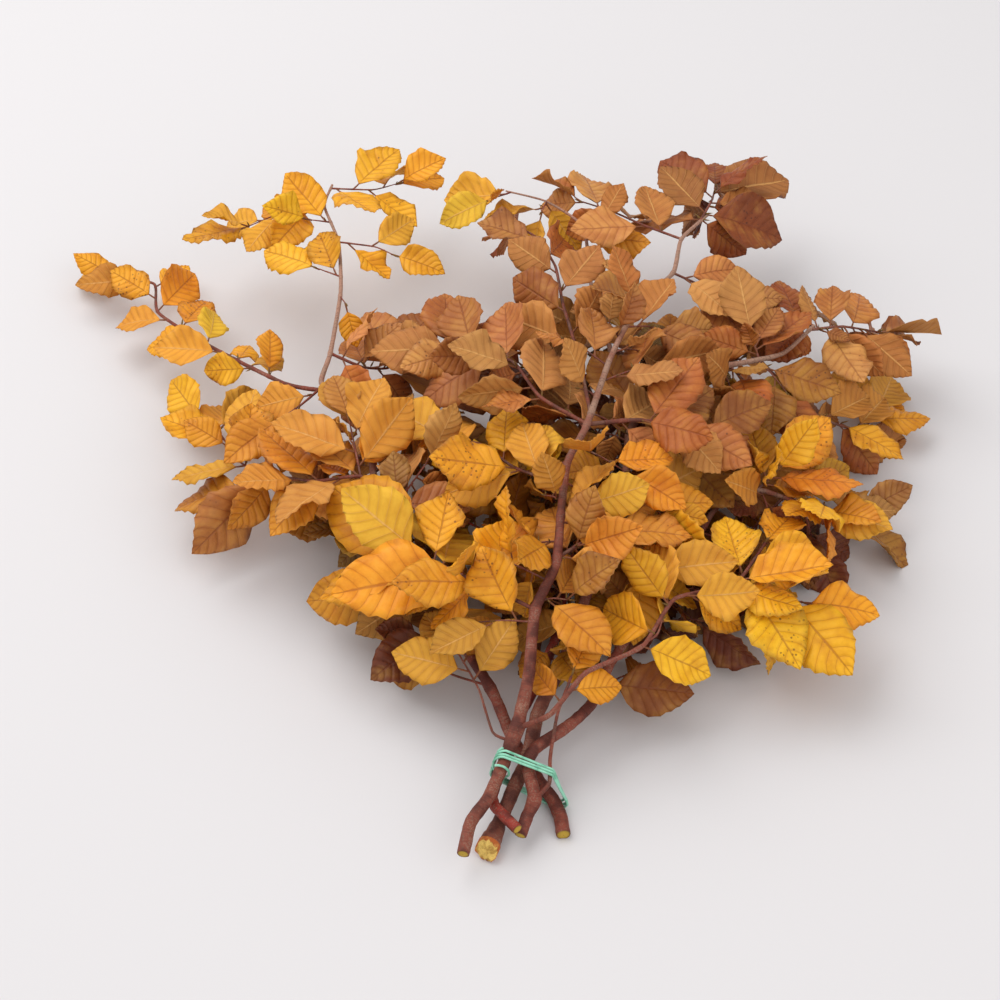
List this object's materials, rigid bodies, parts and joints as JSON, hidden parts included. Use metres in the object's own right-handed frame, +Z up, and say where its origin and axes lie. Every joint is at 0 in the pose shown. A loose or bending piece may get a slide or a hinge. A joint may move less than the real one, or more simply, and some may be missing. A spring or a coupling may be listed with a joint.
{
  "type": "tied bunch of beech branches",
  "caption": "Bunch of cut beech branches in autumn leaf, held near the cut ends by a thin wound band and lying on a surface.",
  "frame": {"origin": "middle of the small flat spot under the left branch's cut end, on the surface that the bunch lies on", "axes": "+Y from the cut ends to the leaf tips along the surface, +X to the right seen from the cut ends, +Z up from the surface"},
  "size_m": [0.7397, 0.716, 0.1577],
  "materials": {
    "autumn_leaf": "dry autumn leaves, gold to copper, on reddish brown bark",
    "bark": "smooth reddish brown bark with pale pores",
    "green_band": "satin mint green band"
  },
  "bodies": {
    "root": {"centre_branch": "autumn_leaf", "right_branch": "autumn_leaf", "left_branch": "autumn_leaf", "middle_branch": "autumn_leaf", "lower_right_branch": "autumn_leaf", "tie": "green_band"}
  },
  "joints": []
}
